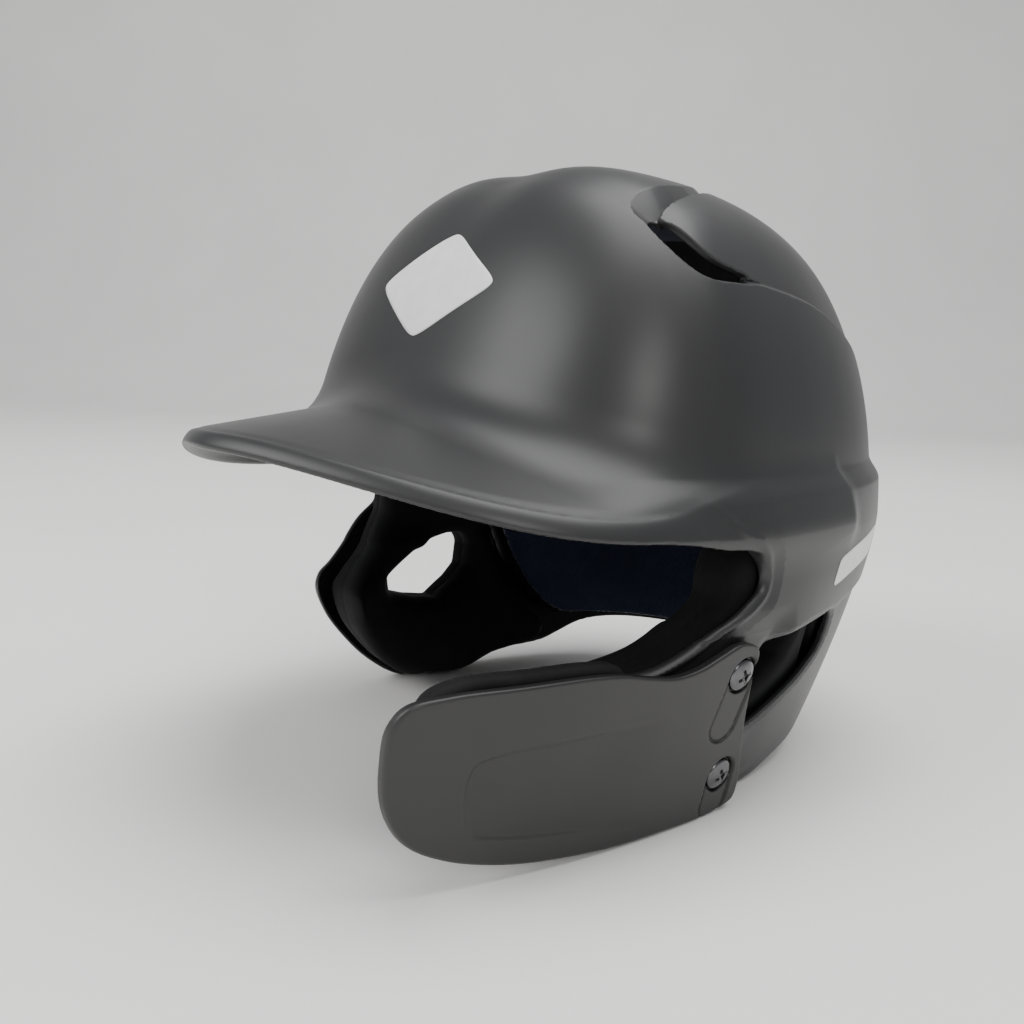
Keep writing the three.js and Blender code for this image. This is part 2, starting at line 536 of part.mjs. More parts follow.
for (const [place, [linerRegion, padRegion]] of Object.entries(paddings)) {
  addNode(`${place}_liner`, linerLayer.intersect(linerRegion), 0x2b2c2e, 0.85);
  addNode(`${place}_pad`, padLayer.intersect(padRegion), NAVY, 0.95);
}
addNode("left_ear_pad", earPad(1), BLACK_FOAM, 0.95);
addNode("right_ear_pad", earPad(-1), BLACK_FOAM, 0.95);

// Decals: plain white shapes, just clear of the shell.
const decalLayer = layer(-GLUE_GAP - DECAL_THICK, -GLUE_GAP, AROUND);
const front = sidePrism(rounded(DIAMOND, 24), 0, 120);
const frontRegion = front.rotate([0, 0, -90]).translate([0, 0, DIAMOND_Z]);
const DECAL_WHITE = 0xe8e8e6;
addNode("front_decal", decalLayer.intersect(frontRegion), DECAL_WHITE, 0.5);
addNode("left_decal", decalLayer.intersect(sidePrism(SIDE_BAR, 20, 150)), DECAL_WHITE, 0.5);
addNode("right_decal", decalLayer.intersect(sidePrism(SIDE_BAR, -150, -20)), DECAL_WHITE, 0.5);

export default group;
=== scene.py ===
"""The looks of the batting helmet, built over its CAD frame.

Lengths are in millimetres until a mesh is made. Each rounded piece is a field, a signed distance that is
negative inside, and its mesh is the field's zero surface.
"""

import math

import bpy
import numpy as np
from mathutils import Matrix, Vector


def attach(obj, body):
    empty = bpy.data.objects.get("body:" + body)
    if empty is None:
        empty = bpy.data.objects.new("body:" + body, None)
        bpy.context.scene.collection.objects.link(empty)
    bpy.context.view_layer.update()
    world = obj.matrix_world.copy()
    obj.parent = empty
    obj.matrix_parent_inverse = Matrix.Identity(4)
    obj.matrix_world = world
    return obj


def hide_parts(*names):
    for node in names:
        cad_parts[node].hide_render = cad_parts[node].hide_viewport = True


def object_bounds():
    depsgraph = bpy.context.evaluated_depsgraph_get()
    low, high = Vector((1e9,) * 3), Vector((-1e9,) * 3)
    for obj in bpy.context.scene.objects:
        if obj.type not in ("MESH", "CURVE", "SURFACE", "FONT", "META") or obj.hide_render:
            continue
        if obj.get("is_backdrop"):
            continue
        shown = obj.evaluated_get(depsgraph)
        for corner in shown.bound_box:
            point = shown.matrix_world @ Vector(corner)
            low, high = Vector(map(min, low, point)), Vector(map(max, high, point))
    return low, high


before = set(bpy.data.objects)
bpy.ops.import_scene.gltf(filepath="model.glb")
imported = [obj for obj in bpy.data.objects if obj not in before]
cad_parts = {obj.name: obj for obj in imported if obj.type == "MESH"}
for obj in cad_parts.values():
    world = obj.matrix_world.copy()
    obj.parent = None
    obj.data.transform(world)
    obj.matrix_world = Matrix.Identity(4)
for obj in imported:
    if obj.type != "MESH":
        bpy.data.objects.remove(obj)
cad_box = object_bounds()

MM = 0.001
FINE = 1.0  # grid scale: coarser while trying things
FINE_STEP = 0.4  # grid step of the outlines around the crown
STEP_WIDTH = 1.5  # how wide the crown's steps are drawn

# ---------- driving dimensions: the overall ones are the CAD's, and fine details are set here ----------
HALF_WIDTH, FRONT_REACH, REAR_REACH = 98.9, 81.2, 132.4
DOME_RISE, WIDEST_Z, AXIS_Y = 141.5, 60.8, -0.8
PLAN_POWER, RISE_POWER, FOREHEAD_LEAN = 2.4, 2.82, 26.3
SIDE_TAPER, REAR_TAPER = (60.8, 0.208, 1.0), (88.0, 0.21, 1.35)  # start height, share lost at z = 0, power
NOSE_SOFTNESS = 0.06  # rounds the plan where its front and rear halves meet
SHELL_THICK = 3.2
BAND_PROUD, BAND_TOP, BAND_FADE = 3.2, 108.0, 8.0
SEAT_TOP, SEAT_PROUD, SEAT_FADE = 59.0, 5.8, 10.0
LEDGE_INSET, LEDGE_FADE, LEDGE_Z, LEDGE_CLIMB = 1.28, 3.2, 57.5, 6.0
CAP_INSET, CAP_FADE, GROOVE_SLOPE, GROOVE_DEPTH = 1.2, 30.0, 0.62, 4.0
VALLEY_DEPTH, VALLEY_WIDTH, SLOT_INNER_X = 1.8, 16.0, 50.0
BRIM_HALF_WIDTH, BRIM_ROOT_Y, BRIM_REACH, BRIM_NOSE = 101.7, -6.5, 126.7, 12.0
BRIM_EDGE_Z, BRIM_DROP, BRIM_DROP_POWER, BRIM_SLOPE = 115.6, 19.8, 1.43, 0.135
BRIM_THICK, BRIM_FILLET, LIP_DROP, LIP_WIDTH, LIP_ROUND, LIP_ROLL, BEAD = 3.2, 15.0, 1.6, 5.0, 1.7, 1.6, 0.45
RIM_BEVEL, RIM_WIDTH, RIM_ROUND, EAR_BEVEL = 1.5, 7.5, 1.1, 0.8
LINER_GAP, GLUE_GAP, LINER_THICK, PAD_THICK, EAR_PAD_THICK = 1.6, 0.4, 6.0, 4.5, 20.0
GUARD_THICK, GUARD_CURL, GUARD_REAR_Y, GUARD_FIELD_DEPTH, GUARD_PAD_THICK = 3.5, 0.00148, -4.0, 0.9, 9.0
UPPER_SCREW = {"y": -11.0, "z": 48.6, "drop": 15.0, "slant": 3.0}
LOWER_SCREW = {"y": -8.0, "z": 14.4, "drop": 9.0, "slant": 0.0}
SCREW_HEAD_R, SCREW_HEAD_H, SCREW_LENGTH, HEAD_SEAT, CROSS_REACH = 5.2, 2.4, 9.5, -1.6, 2.6
NUT_BARREL_R, NUT_FLANGE_R, NUT_FLANGE_H = 3.1, 7.5, 1.2

# ---------- outlines in the side view, as (y, z) ----------
KEEP = [(-60, 130), (-48, 112), (-36, 103), (-28, 96.5), (-21, 91), (-14, 87.5), (-8.5, 83), (-6, 78.5),
    (-6.8, 74.5), (-12.5, 70), (-21, 63.8), (-29.5, 57.2), (-37, 52.8), (-45, 49.8), (-48.8, 45),
    (-44.5, 34.5), (-33, 21), (-23, 11.5), (-11, 3), (-4, 0.1), (8, -0.1), (20, 0.1), (28.5, 2), (37, 4.2),
    (46, 5.3), (57, 6), (66, 7.5), (74, 11), (83, 15.5), (93, 18), (120, 19.2), (150, 19.5), (220, 30),
    (260, 150), (220, 290), (60, 300), (-80, 290), (-85, 200)]
EAR_HOLE = [(-4, 47), (-1, 51.5), (3, 54.8), (9, 57.2), (20, 59.3), (34, 60), (45, 59.3), (50, 54.5),
    (49.5, 45.5), (38, 38), (23, 32), (9, 26.5), (0, 26), (-4, 31), (-5, 39)]
EAR_PAD_HOLE = [(-19, 43), (-17, 46), (-1, 54.5), (10, 58), (20, 60), (28, 60), (29, 55), (26, 46),
    (20, 41), (8.5, 34.5), (-3, 36), (-17, 40)]
CROWN_SLOT = [(-20.2, 178.9), (-22.3, 177.2), (-22.9, 175.4), (-22.3, 173.2), (-21, 170.3), (-19, 167.2),
    (-16.2, 164.8), (-12.4, 163.6), (-5.5, 163.3), (4.5, 163.5), (5.2, 164.8), (-1.5, 166.9), (-8, 169.3),
    (-11.5, 172.9), (-13.8, 176.2), (-15.6, 178.4), (-17.8, 179.4)]
SLOT_FOOT = [(-24.9, 230), (-24.9, 184), (-23.2, 179.5), (-23.4, 177.6), (-22.4, 173.8), (-21, 170.3),
    (-19, 167.2), (-16.2, 164.8), (-12.4, 163.6), (-5.5, 163.3), (4.5, 163.5), (30, 163.4), (60, 230)]
CAP_SIDE = [(-19.8, 182.8), (-17.8, 178.6), (-15.3, 175), (-12.9, 171.8), (-9.2, 168.2), (-2.2, 165.8),
    (4, 164.1), (13, 162.7), (24, 161.2), (32, 160), (40, 158.4), (47.5, 156.4), (59, 152.3), (73.5, 147),
    (80, 143.8), (100, 134), (120, 123), (160, 105), (160, 230), (-60, 230)]
GUARD = [(-9.6, 58.6), (-5.8, 56), (-5, 47), (-3.5, 36), (0, 22), (3.5, 10), (3, 3), (-6, 0.6), (-30, 0.4),
    (-55, 1), (-84, 4.3), (-103, 10), (-114, 17), (-120.5, 28), (-122.8, 42), (-122.5, 51), (-119, 56.3),
    (-109, 58.2), (-90, 58.4), (-70, 58.3), (-60, 57.4), (-50, 55.2), (-40, 53.6), (-31, 54.6), (-23, 57.4),
    (-16, 59.6)]
GUARD_FIELD = [(-99.5, 37.5), (-94, 39.4), (-72, 40.2), (-45, 41.5), (-25, 42), (-20, 30), (-24, 9),
    (-43, 7.6), (-64, 10.2), (-90, 14.3), (-97, 17), (-100.5, 27)]
GUARD_PAD = [(-51, 15), (-60, 9.5), (-86, 12), (-103, 20), (-111, 32), (-113, 45), (-111, 56), (-104, 60),
    (-84, 60.4), (-66, 60), (-57, 58), (-51.5, 50)]
EAR_PAD = [(2, 88), (-6, 86), (-10, 78), (-11, 71), (-17, 63.5), (-25, 56), (-35, 50), (-42, 45.5),
    (-41, 35), (-30, 21), (-20, 12), (-9, 5.5), (3, 4), (20, 4.5), (34, 8.5), (46, 10.5), (57, 13.5),
    (60, 19), (54, 28), (49, 37), (44.5, 48), (42.5, 60), (40, 73), (33, 82), (14, 88)]
SIDE_LINER = [(-26, 108), (2, 90), (70, 90), (70, 146), (12, 152), (-18, 146)]
SIDE_PAD = [(-14, 110), (6, 95), (64, 95), (64, 136), (10, 142), (-12, 136)]
REAR_LINER = [(69, 20.5), (62.5, 25), (57, 33), (51, 47), (48, 60), (45.5, 74), (47, 84), (76, 84),
    (76, 140), (150, 140), (150, 22)]
REAR_PAD = [(70, 21.5), (64, 26), (58.5, 34), (52.5, 48), (49.5, 60), (47.5, 74), (50, 80), (82, 80),
    (82, 104), (150, 108), (150, 24)]
DIAMOND_HALF, DIAMOND_Z = (30.0, 18.0), 161.0
FILM_TOP, FILM_FOOT = 0.14, 0.03  # heights of a decal's two faces above the shell
SIDE_BAR = [(36, 69), (76, 75), (80, 85), (40, 79)]

# ---------- outlines in plan on one side, as (x, y) ----------
PANEL_REAR = [(58, -24.6), (55.4, -23), (54.6, -19.7), (54.6, -13.6), (53.2, -4.6), (49.8, 7.5), (44.5, 19),
    (36.5, 31), (26, 41), (24, 60), (90, 60), (90, -26), (66, -25.3)]
CAP_PLAN = [(90, -21), (65, -21), (62.8, -18.7), (61.4, -14.6), (58.3, -3.4), (54.1, 8.4), (45, 28),
    (36, 38), (22, 47), (-10, 50), (-10, 160), (120, 160), (120, -21)]


# ---------- small field helpers: each field is a distance in millimetres, negative inside ----------
def smooth(t):
    u = np.clip(t, 0.0, 1.0)
    return u * u * (3 - 2 * u)


def soft_min(a, b, k):
    h = np.clip(k - np.abs(a - b), 0, None)
    return np.minimum(a, b) - h * h / (4 * k)


def soft_max(a, b, k):
    return -soft_min(-a, -b, k)


def round_max(a, b, r):
    """Keeps what is inside both, with the edge between them rounded to a radius."""
    u, v = np.maximum(a + r, 0), np.maximum(b + r, 0)
    return np.minimum(np.maximum(a, b), -r) + np.hypot(u, v)


def spline(points, steps=14):
    """A closed centripetal curve through the points."""
    p = np.array(points, float)
    out = []
    for i in range(len(p)):
        a, b, c, d = (p[(i + j) % len(p)] for j in (-1, 0, 1, 2))
        t1 = max(np.linalg.norm(b - a), 1e-6) ** 0.5
        t2 = t1 + max(np.linalg.norm(c - b), 1e-6) ** 0.5
        t3 = t2 + max(np.linalg.norm(d - c), 1e-6) ** 0.5
        for t in np.linspace(t1, t2, steps, endpoint=False):
            a1 = a * (t1 - t) / t1 + b * t / t1
            a2 = b * (t2 - t) / (t2 - t1) + c * (t - t1) / (t2 - t1)
            a3 = c * (t3 - t) / (t3 - t2) + d * (t - t2) / (t3 - t2)
            b1 = a1 * (t2 - t) / t2 + a2 * t / t2
            b2 = a2 * (t3 - t) / (t3 - t1) + a3 * (t - t1) / (t3 - t1)
            out.append(b1 * (t2 - t) / (t2 - t1) + b2 * (t - t1) / (t2 - t1))
    return np.array(out)


class Outline:
    """Signed distance to a closed outline in a plane, looked up from a grid."""

    def __init__(self, polygon, step=0.6, margin=14.0, soften=0):
        p = np.array(polygon, float)
        self.low, self.step = p.min(0) - margin, step
        size = np.ceil((p.max(0) + margin - self.low) / step).astype(int) + 1
        u, v = (self.low[i] + step * np.arange(size[i]) for i in (0, 1))
        gu, gv = np.meshgrid(u, v, indexing="ij")
        best = np.full(gu.shape, 1e9)
        inside = np.zeros(gu.shape, bool)
        for a, b in zip(p, np.roll(p, -1, 0)):
            d = b - a
            t = np.clip(((gu - a[0]) * d[0] + (gv - a[1]) * d[1]) / max(d @ d, 1e-12), 0, 1)
            best = np.minimum(best, (gu - a[0] - t * d[0]) ** 2 + (gv - a[1] - t * d[1]) ** 2)
            if a[1] != b[1]:
                crosses = ((a[1] > gv) != (b[1] > gv)) & (gu < d[0] * (gv - a[1]) / d[1] + a[0])
                inside ^= crosses
        self.grid = np.where(inside, -1, 1) * np.sqrt(best)
        for _ in range(soften):
            for axis in (0, 1):
                before, after = np.roll(self.grid, 1, axis), np.roll(self.grid, -1, axis)
                self.grid = (before + 2 * self.grid + after) / 4

    def __call__(self, u, v):
        top = np.array(self.grid.shape) - 1.001
        s = np.clip((u - self.low[0]) / self.step, 0, top[0])
        t = np.clip((v - self.low[1]) / self.step, 0, top[1])
        i, j = s.astype(int), t.astype(int)
        s, t = s - i, t - j
        g = self.grid
        low = g[i, j] * (1 - s) + g[i + 1, j] * s
        high = g[i, j + 1] * (1 - s) + g[i + 1, j + 1] * s
        return low * (1 - t) + high * t


# ---------- the dome ----------
def taper(z, start, share, power):
    """How much narrower the wall gets below a height, and the slope of that."""
    depth = np.clip((start - z) / start, 0, None)
    return share * depth**power, -share * power * np.maximum(depth, 1e-9) ** (power - 1) * (depth > 0) / start


ROUNDING = (1 + NOSE_SOFTNESS) ** (PLAN_POWER / 2) - NOSE_SOFTNESS ** (PLAN_POWER / 2)


def dome(x, y, z):
    """Distance outside the bare dome and wall."""
    blend = smooth((y - 10) / 50)
    side, side_slope = taper(z, *SIDE_TAPER)
    rear, rear_slope = taper(z, *REAR_TAPER)
    k = 1 - (side + (rear - side) * blend)
    k_slope = -(side_slope + (rear_slope - side_slope) * blend)
    above = z > WIDEST_Z
    rise = np.clip((z - WIDEST_Z) / DOME_RISE, 0, 1.3)
    along = y - AXIS_Y
    ahead = 1 - smooth((along + 24) / 48)
    reach = REAR_REACH + (FRONT_REACH - FOREHEAD_LEAN * rise - REAR_REACH) * ahead
    u, v = np.abs(x) / HALF_WIDTH + 1e-9, np.abs(along) / reach + 1e-9
    softened = (v * v + NOSE_SOFTNESS) ** (PLAN_POWER / 2) - NOSE_SOFTNESS ** (PLAN_POWER / 2)
    v = (softened / ROUNDING) ** (1 / PLAN_POWER)
    plan = (u**PLAN_POWER + v**PLAN_POWER) ** (1 / PLAN_POWER)
    s = plan / k
    g = (s**RISE_POWER + rise**RISE_POWER) ** (1 / RISE_POWER)
    lead = (s / g) ** (RISE_POWER - 1) / k
    du = lead * (u / plan) ** (PLAN_POWER - 1) / HALF_WIDTH
    dv = lead * (v / plan) ** (PLAN_POWER - 1) / reach
    lean = np.where((along < 0) & above, v * FOREHEAD_LEAN / DOME_RISE, 0)
    dz = dv * lean - lead * s * k_slope + (rise / g) ** (RISE_POWER - 1) / DOME_RISE
    return (g - 1) / np.sqrt(du**2 + dv**2 + dz**2 + 1e-12)


cap_side, slot_foot, cap_plan, panel_rear = (
    Outline(points, FINE_STEP, soften=4) for points in (CAP_SIDE, SLOT_FOOT, CAP_PLAN, PANEL_REAR)
)


def seat_and_band(x, y, z):
    on_seat = smooth((12 - y) / SEAT_FADE) * smooth((SEAT_TOP + SEAT_FADE - z) / SEAT_FADE)
    seat = SEAT_PROUD * np.clip(1 - z / SEAT_TOP, 0, None)
    band = BAND_PROUD * smooth((BAND_TOP - z) / BAND_FADE)
    behind_ear = smooth((y + 2) / 8) * (1 - smooth((y - 85) / 25))
    ledge_z = LEDGE_Z + LEDGE_CLIMB * smooth((y - 4) / 90)
    ledge = LEDGE_INSET * np.clip((ledge_z - z) / LEDGE_FADE + 0.5, 0, 1) * behind_ear
    return band + (seat - band) * on_seat - ledge


def offset(x, y, z):
    """How far the finished outer face stands off the bare dome."""
    ax = np.abs(x)
    side = cap_side(y, z)
    outside = np.maximum(cap_plan(ax, y), side)
    inset = CAP_INSET * (1 - smooth((-side - 2) / CAP_FADE)) * smooth(0.5 - outside / STEP_WIDTH)
    behind = np.clip(-panel_rear(ax, y), 0, GROOVE_DEPTH / GROOVE_SLOPE)
    beside_cap = smooth(outside / STEP_WIDTH + 0.5)
    groove = GROOVE_SLOPE * behind * beside_cap * smooth(0.5 - slot_foot(y, z) / STEP_WIDTH)
    inset = np.where(z > 60, inset, 0)
    return seat_and_band(x, y, z) - inset - groove - valley(x, y, z)


def valley(x, y, z):
    crown = smooth((z - 165) / 30) * smooth((45 - y) / 30)
    return VALLEY_DEPTH * np.exp(-((x / VALLEY_WIDTH) ** 2)) * crown


def skin(p):
    """Distance outside the shell's plain outer face, without the crown's cap and groove."""
    x, y, z = p
    return dome(x, y, z) - seat_and_band(x, y, z) + valley(x, y, z)


# ---------- the brim ----------
def brim_share(x):
    full = math.hypot(BRIM_HALF_WIDTH, BRIM_NOSE) - BRIM_NOSE
    return np.clip((np.hypot(x, BRIM_NOSE) - BRIM_NOSE) / full, 0, 1)


def brim_edge_y(x):
    return BRIM_ROOT_Y - BRIM_REACH * (1 - brim_share(x) ** 0.96) ** 0.26


def brim_top(x, y, edge):
    rise = soft_min(BRIM_SLOPE * np.maximum(y - brim_edge_y(x), 0), -0.4 * edge, 1.5)
    return BRIM_EDGE_Z - BRIM_DROP * brim_share(x) ** BRIM_DROP_POWER + rise


xs = BRIM_HALF_WIDTH * np.sin(np.linspace(-1, 1, 241) * math.pi / 2)
brim_plan = Outline(np.vstack([np.stack([xs, brim_edge_y(xs)], 1), [(97, 40), (-97, 40)]]), soften=3)
keep = Outline(spline(KEEP, 10), 0.6, soften=3)
ear_hole = Outline(spline(EAR_HOLE), soften=2)
crown_slot = Outline(spline(CROWN_SLOT), FINE_STEP, soften=4)


def lip(edge):
    return LIP_DROP * smooth((edge + LIP_WIDTH) / 3)


def brim_surfaces(x, y):
    edge = brim_plan(x, y)
    bead = BEAD * np.exp(-(((edge + 2.4) / 1.2) ** 2))
    rolled = LIP_ROLL * np.clip((edge + 7) / 7, 0, 1.3) ** 2 - bead
    top = brim_top(x, y, edge)
    return edge, top - rolled, top - BRIM_THICK - lip(edge)


def shell(p):
    """The dome and brim joined, hollowed, and cut along the face opening, ear holes and crown slots."""
    x, y, z = p
    bare = dome(x, y, z)
    edge, top, under = brim_surfaces(x, y)
    k = keep(y, z)
    facing = smooth((30 - y) / 20) * smooth((104 - z) / 10)
    bevel = RIM_BEVEL * np.clip(1 + k / RIM_WIDTH, 0, 1) * facing
    bead = 1.6 * BEAD * np.exp(-(((k + 2.0) / 1.1) ** 2)) * facing
    hole = ear_hole(y, z)
    slot = np.maximum(crown_slot(y, z), SLOT_INNER_X - np.abs(x))
    ear_bevel = EAR_BEVEL * np.clip(1 - hole / 2.6, 0, 1)
    surface = bare - offset(x, y, z)
    inner = -(surface + SHELL_THICK + 0.4 * bevel)
    outer = surface + bevel + ear_bevel - bead
    slab = np.maximum(z - top, under - z) * 0.985
    brim = round_max(slab, edge, LIP_ROUND)
    outer = soft_min(outer, brim, BRIM_FILLET)
    cut = soft_min(k, under - z - 0.05 - 3 * smooth(bare / 5), 4)
    solid = round_max(np.maximum(outer, inner), cut, RIM_ROUND)
    solid = round_max(solid, -hole, 0.8)
    return round_max(solid, -slot, 0.8)


# ---------- meshes from fields ----------
def sample(field, points, chunk=400000):
    out = np.empty(len(points))
    for i in range(0, len(points), chunk):
        out[i : i + chunk] = field(points[i : i + chunk].T)
    return out


TETRA = np.array([(1, -1, -1), (-1, -1, 1), (-1, 1, -1), (1, 1, 1)], float)


def value_and_slope(field, points, h=0.05):
    values = [sample(field, points + h * k) for k in TETRA]
    slope = sum(np.outer(f, k) for f, k in zip(values, TETRA)) / (4 * h)
    return sum(values) / 4, slope


def settle(field, points, steps, reach):
    """Moves points onto the field's zero surface."""
    for _ in range(steps):
        f, g = value_and_slope(field, points)
        move = g * (f / np.maximum((g * g).sum(1), 0.05))[:, None]
        length = np.linalg.norm(move, axis=1)[:, None]
        points = points - move * np.minimum(1, reach / np.maximum(length, 1e-9))
    return points


def surface(field, low, high, cell, block=5):
    """Quads over the field's zero surface inside a box, from a grid that is only filled near the surface."""
    low, high = np.array(low, float) - 2 * cell, np.array(high, float) + 2 * cell
    n = np.ceil((high - low) / (cell * block)).astype(int)
    axes = [low[i] + cell * block * (np.arange(n[i]) + 0.5) for i in range(3)]
    centres = np.stack(np.meshgrid(*axes, indexing="ij"), -1).reshape(-1, 3)
    coarse = sample(field, centres).reshape(n)
    near = np.abs(coarse) < 0.87 * block * cell * 1.35 + 1.0
    values = np.sign(coarse).repeat(block, 0).repeat(block, 1).repeat(block, 2) * 9.0
    mask = near.repeat(block, 0).repeat(block, 1).repeat(block, 2)
    for axis in range(3):
        mask |= np.roll(mask, 1, axis)
    index = np.argwhere(mask)
    values[mask] = sample(field, low + cell * index)
    inside = values < 0
    count = np.zeros(np.array(values.shape) - 1, np.uint8)
    corners = [(i, j, k) for i in (0, 1) for j in (0, 1) for k in (0, 1)]
    m = values.shape
    for i, j, k in corners:
        count += inside[i : m[0] - 1 + i, j : m[1] - 1 + j, k : m[2] - 1 + k]
    cells = np.argwhere((count > 0) & (count < 8))
    ids = np.full(count.shape, -1)
    ids[tuple(cells.T)] = np.arange(len(cells))
    total, hits = np.zeros((len(cells), 3)), np.zeros(len(cells))
    for a in corners:
        for axis in range(3):
            if a[axis]:
                continue
            b = np.array(a)
            b[axis] = 1
            va, vb = values[tuple((cells + a).T)], values[tuple((cells + b).T)]
            hit = (va < 0) != (vb < 0)
            t = np.where(hit, va / np.where(hit, va - vb, 1), 0)
            place = np.array(a) + t[:, None] * (b - np.array(a))
            total += place * hit[:, None]
            hits += hit
    points = low + cell * (cells + total / hits[:, None])
    quads = []
    for axis in range(3):
        one, two = (axis + 1) % 3, (axis + 2) % 3
        a = np.moveaxis(inside, axis, 0)
        change = np.moveaxis(a[1:] != a[:-1], 0, axis)
        at = np.argwhere(change)
        at = at[(at[:, one] > 0) & (at[:, two] > 0) & (at[:, one] < m[one] - 1) & (at[:, two] < m[two] - 1)]
        ring = []
        for s, t in ((0, 0), (1, 0), (1, 1), (0, 1)):
            c = at.copy()
            c[:, one] -= s
            c[:, two] -= t
            ring.append(ids[tuple(c.T)])
        ring = np.stack(ring, 1)
        flip = inside[tuple(at.T)]
        ring[~flip] = ring[~flip][:, ::-1]
        quads.append(ring)
    quads = np.vstack(quads)
    return points, quads[(quads >= 0).all(1)]


def new_mesh(name, points, faces):
    mesh = bpy.data.meshes.new(name)
    mesh.vertices.add(len(points))
    mesh.vertices.foreach_set("co", (np.asarray(points) * MM).astype(np.float32).ravel())
    sides = faces.shape[1]
    mesh.loops.add(faces.size)
    mesh.loops.foreach_set("vertex_index", faces.astype(np.int32).ravel())
    mesh.polygons.add(len(faces))
    mesh.polygons.foreach_set("loop_start", np.arange(0, faces.size, sides, dtype=np.int32))
    mesh.update(calc_edges=True)
    mesh.shade_smooth()
    piece = bpy.data.objects.new(name, mesh)
    bpy.context.scene.collection.objects.link(piece)
    return piece


def points_of(piece):
    co = np.zeros(len(piece.data.vertices) * 3, np.float32)
    piece.data.vertices.foreach_get("co", co)
    return co.reshape(-1, 3).astype(float) / MM


def thin(piece, limit):
    """Drops the faces that flat areas don't need, down to a number of triangles."""
    modifier = piece.modifiers.new("thin", "DECIMATE")
    modifier.ratio = min(1.0, limit / (2 * len(piece.data.polygons)))
    graph = bpy.context.evaluated_depsgraph_get()
    mesh = bpy.data.meshes.new_from_object(piece.evaluated_get(graph))
    piece.modifiers.clear()
    piece.data = mesh


def model(name, field, low, high, cell, limit=None):
    cell *= FINE
    points, quads = surface(field, low, high, cell)
    points = settle(field, points, 2, cell * 0.5)
    piece = new_mesh(name, points, quads)
    if limit:
        thin(piece, limit)
    points = settle(field, points_of(piece), 1, cell * 0.3)
    piece.data.vertices.foreach_set("co", (points * MM).astype(np.float32).ravel())
    slope = value_and_slope(field, points)[1]
    slope /= np.maximum(np.linalg.norm(slope, axis=1), 1e-9)[:, None]
    piece.data.shade_smooth()
    piece.data.normals_split_custom_set_from_vertices(slope)
    piece.data.update()
    print(name, len(points), "points", len(piece.data.polygons), "faces")
    return piece


# ---------- the jaw guard ----------
def wall_x(y, z):
    """Half-width of the finished wall at places in the side view."""
    x = np.full(np.shape(z), HALF_WIDTH)
    for _ in range(12):
        x = x - skin((x, y + 0 * x, z))
    return x


seat_z = np.linspace(-12, 72, 85)
seat_x = wall_x(GUARD_REAR_Y, seat_z)


def guard_x(y, z):
    sweep = np.minimum(0, y - GUARD_REAR_Y)
    return np.interp(z, seat_z, seat_x) + GLUE_GAP + GUARD_THICK - GUARD_CURL * sweep**2


def guard_depth(x, y, z):
    """Depth below the guard's outer face, negative outside it."""
    slope = 2 * GUARD_CURL * np.minimum(0, y - GUARD_REAR_Y)
    return (guard_x(y, z) - x) / np.sqrt(1 + slope**2 + 0.04)


def screw_axis(screw):
    y, z = screw["y"], screw["z"]

    def face(b, c):
        return float(guard_x(np.array(b), np.array(c)))

    out = np.array([1, (face(y - 1, z) - face(y + 1, z)) / 2, (face(y, z - 1) - face(y, z + 1)) / 2])
    return np.array([face(y, z), y, z]), out / np.linalg.norm(out)


def about_screw(p, screw):
    """Distance from a screw's axis and height out of the guard's face."""
    origin, out = screw_axis(screw)
    d = [p[i] - origin[i] for i in range(3)]
    height = sum(d[i] * out[i] for i in range(3))
    across = sum((d[i] - height * out[i]) ** 2 for i in range(3))
    return np.sqrt(across), height


guard_edge = Outline(spline(GUARD))
guard_field = Outline(spline(GUARD_FIELD))
guard_pad_edge = Outline(spline(GUARD_PAD))


def jaw_guard(p):
    x, y, z = p
    depth = guard_depth(x, y, z)
    edge = guard_edge(y, z)
    faint = smooth((-38 - y) / 30)
    depth_out = depth - GUARD_FIELD_DEPTH * smooth(0.5 - guard_field(y, z) / 2.6) * faint
    slab = np.maximum(-depth_out, depth - GUARD_THICK)
    solid = round_max(slab, edge, 1.2)
    for screw in (UPPER_SCREW, LOWER_SCREW):
        radius, height = about_screw(p, screw)
        r = SCREW_HEAD_R + 0.7
        along = np.clip((screw["z"] - z) / screw["drop"], 0, 1)
        lane = np.hypot(y - screw["y"] + screw["slant"] * along, z - screw["z"] + screw["drop"] * along) - r
        step = np.clip(0.5 - lane / 0.5, 0, 1)
        rim = np.exp(-(((lane - 0.1) / 0.4) ** 2))
        sunk = (0.35 * step + 0.8 * rim) * smooth((3.5 - y) / 3)
        solid = np.maximum(solid, sunk - depth)
        seat = np.maximum(radius - r, HEAD_SEAT - 0.35 - height)
        solid = round_max(solid, -seat, 0.3)
        solid = np.maximum(solid, 2.6 - radius)
    return solid


def jaw_guard_pad(p):
    x, y, z = p
    depth = guard_depth(x, y, z) - GUARD_THICK - GLUE_GAP
    edge = guard_pad_edge(y, z)
    crown = 1.5 * smooth(1 + edge / 14)
    slab = np.maximum(-depth, depth - GUARD_PAD_THICK + crown)
    seam = 0.5 * np.exp(-(((depth - 3.4) / 0.5) ** 2)) * smooth(1 + edge / 2)
    return round_max(slab, edge, 3.0) + seam


